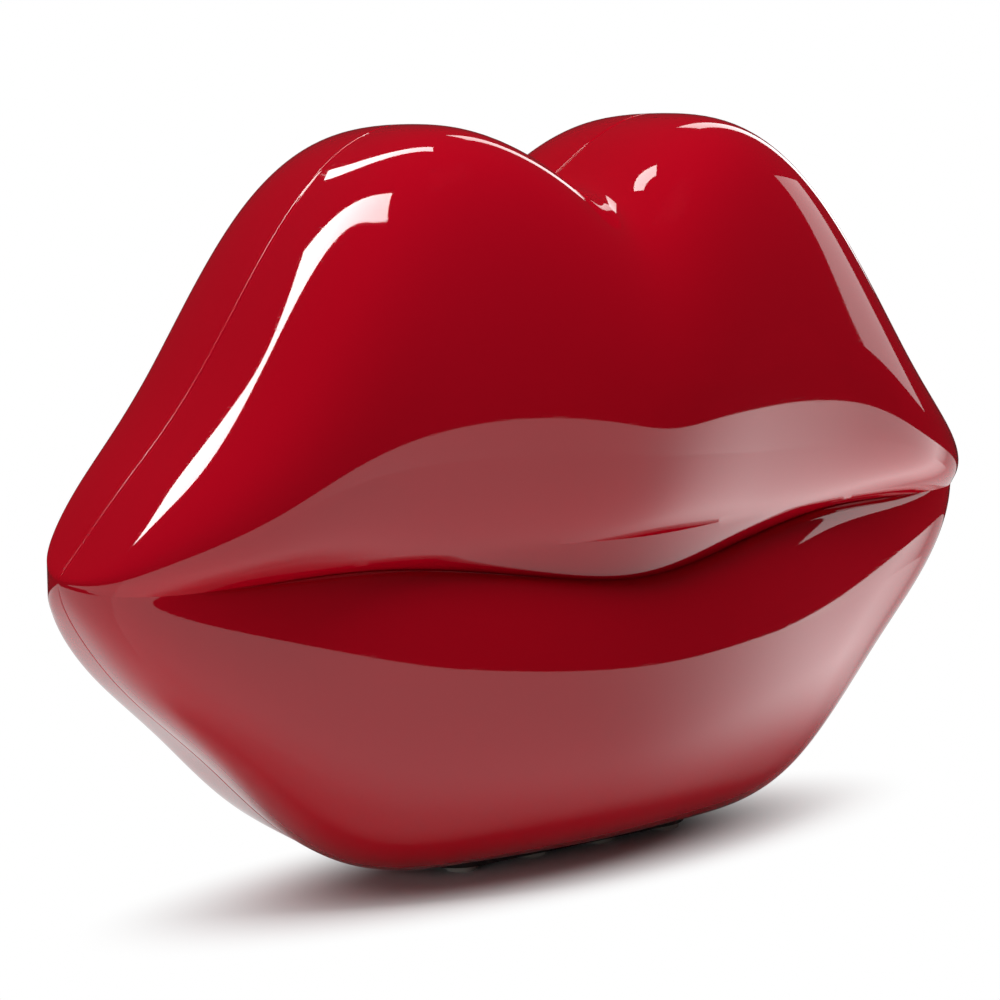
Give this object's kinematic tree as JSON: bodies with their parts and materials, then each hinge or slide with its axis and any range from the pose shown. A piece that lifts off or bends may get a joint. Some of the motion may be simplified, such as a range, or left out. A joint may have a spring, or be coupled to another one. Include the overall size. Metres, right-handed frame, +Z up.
{
  "type": "novelty telephone",
  "caption": "Corded desk telephone shaped like a pair of glossy red lips that stands on its lower lip, with a keypad, earpiece and mouthpiece on its flat back and a hook switch in its base.",
  "frame": {"origin": "on the floor, under the middle of the phone's box", "axes": "+X from the left mouth corner to the right one as seen from the front, +Y from the lips towards the keypad, +Z up"},
  "size_m": [0.2, 0.0738, 0.1402],
  "materials": {
    "red_shell": "polished injection-moulded ABS",
    "dark_plastic": "fine spark-eroded texture",
    "key_caps": "satin",
    "red_keys": "satin",
    "rubber": "moulded silicone",
    "circuit_board": "solder-masked glass laminate",
    "black_moulding": "moulded",
    "blue_sleeve": "shrink sleeve",
    "grey_cable": "extruded vinyl",
    "red_cable": "extruded vinyl",
    "steel": "zinc plated",
    "brass": "gold flashed"
  },
  "bodies": {
    "housing": {"front_shell": "red_shell", "rear_shell": "red_shell", "base_plate": "dark_plastic", "feet": "rubber", "keypad_bezel": "dark_plastic", "dome_mat": "rubber", "keypad_board": "circuit_board", "keypad_screws": "steel", "main_board": "circuit_board", "dialer_chip": "black_moulding", "capacitors": "blue_sleeve", "crystal": "steel", "board_screws": "steel", "ribbon_cable": "grey_cable", "lead_wires": "red_cable", "receiver_capsule": "black_moulding", "receiver_gasket": "rubber", "microphone_capsule": "steel", "microphone_boot": "rubber", "piezo_ringer": "black_moulding", "hook_guide": "dark_plastic", "hook_spring": "steel", "hook_switch": "black_moulding", "line_jack": "black_moulding", "jack_contacts": "brass", "ringer_switch": "black_moulding", "tone_switch": "black_moulding", "ballast_weight": "steel", "base_screws": "steel", "shell_screws": "steel"},
    "key_1": {"key_1": "key_caps"},
    "key_2": {"key_2": "key_caps"},
    "key_3": {"key_3": "key_caps"},
    "key_4": {"key_4": "key_caps"},
    "key_5": {"key_5": "key_caps"},
    "key_6": {"key_6": "key_caps"},
    "key_7": {"key_7": "key_caps"},
    "key_8": {"key_8": "key_caps"},
    "key_9": {"key_9": "key_caps"},
    "key_star": {"key_star": "key_caps"},
    "key_0": {"key_0": "key_caps"},
    "key_hash": {"key_hash": "key_caps"},
    "flash_key": {"flash_key": "red_keys"},
    "redial_key": {"redial_key": "red_keys"},
    "mute_key": {"mute_key": "red_keys"},
    "hook_plunger": {"hook_plunger": "key_caps"},
    "ringer_knob": {"ringer_knob": "key_caps"},
    "tone_knob": {"tone_knob": "key_caps"}
  },
  "joints": [
    {"name": "key_1_press", "type": "slide", "parent": "housing", "child": "key_1", "axis": [0, -1, 0], "range_m": [0, 0.0014], "stiffness_N_per_m": 600, "springref_m": -0.0006},
    {"name": "key_2_press", "type": "slide", "parent": "housing", "child": "key_2", "axis": [0, -1, 0], "range_m": [0, 0.0014], "stiffness_N_per_m": 600, "springref_m": -0.0006},
    {"name": "key_3_press", "type": "slide", "parent": "housing", "child": "key_3", "axis": [0, -1, 0], "range_m": [0, 0.0014], "stiffness_N_per_m": 600, "springref_m": -0.0006},
    {"name": "key_4_press", "type": "slide", "parent": "housing", "child": "key_4", "axis": [0, -1, 0], "range_m": [0, 0.0014], "stiffness_N_per_m": 600, "springref_m": -0.0006},
    {"name": "key_5_press", "type": "slide", "parent": "housing", "child": "key_5", "axis": [0, -1, 0], "range_m": [0, 0.0014], "stiffness_N_per_m": 600, "springref_m": -0.0006},
    {"name": "key_6_press", "type": "slide", "parent": "housing", "child": "key_6", "axis": [0, -1, 0], "range_m": [0, 0.0014], "stiffness_N_per_m": 600, "springref_m": -0.0006},
    {"name": "key_7_press", "type": "slide", "parent": "housing", "child": "key_7", "axis": [0, -1, 0], "range_m": [0, 0.0014], "stiffness_N_per_m": 600, "springref_m": -0.0006},
    {"name": "key_8_press", "type": "slide", "parent": "housing", "child": "key_8", "axis": [0, -1, 0], "range_m": [0, 0.0014], "stiffness_N_per_m": 600, "springref_m": -0.0006},
    {"name": "key_9_press", "type": "slide", "parent": "housing", "child": "key_9", "axis": [0, -1, 0], "range_m": [0, 0.0014], "stiffness_N_per_m": 600, "springref_m": -0.0006},
    {"name": "key_star_press", "type": "slide", "parent": "housing", "child": "key_star", "axis": [0, -1, 0], "range_m": [0, 0.0014], "stiffness_N_per_m": 600, "springref_m": -0.0006},
    {"name": "key_0_press", "type": "slide", "parent": "housing", "child": "key_0", "axis": [0, -1, 0], "range_m": [0, 0.0014], "stiffness_N_per_m": 600, "springref_m": -0.0006},
    {"name": "key_hash_press", "type": "slide", "parent": "housing", "child": "key_hash", "axis": [0, -1, 0], "range_m": [0, 0.0014], "stiffness_N_per_m": 600, "springref_m": -0.0006},
    {"name": "flash_key_press", "type": "slide", "parent": "housing", "child": "flash_key", "axis": [0, -1, 0], "range_m": [0, 0.0014], "stiffness_N_per_m": 600, "springref_m": -0.0006},
    {"name": "redial_key_press", "type": "slide", "parent": "housing", "child": "redial_key", "axis": [0, -1, 0], "range_m": [0, 0.0014], "stiffness_N_per_m": 600, "springref_m": -0.0006},
    {"name": "mute_key_press", "type": "slide", "parent": "housing", "child": "mute_key", "axis": [0, -1, 0], "range_m": [0, 0.0014], "stiffness_N_per_m": 600, "springref_m": -0.0006},
    {"name": "hook_drop", "type": "slide", "parent": "housing", "child": "hook_plunger", "axis": [0, 0, -1], "range_m": [0, 0.003], "stiffness_N_per_m": 60, "springref_m": 0.009, "deforming": ["hook_spring"]},
    {"name": "ringer_knob_slide", "type": "slide", "parent": "housing", "child": "ringer_knob", "axis": [1, 0, 0], "range_m": [0, 0.004]},
    {"name": "tone_knob_slide", "type": "slide", "parent": "housing", "child": "tone_knob", "axis": [1, 0, 0], "range_m": [0, 0.004]}
  ]
}
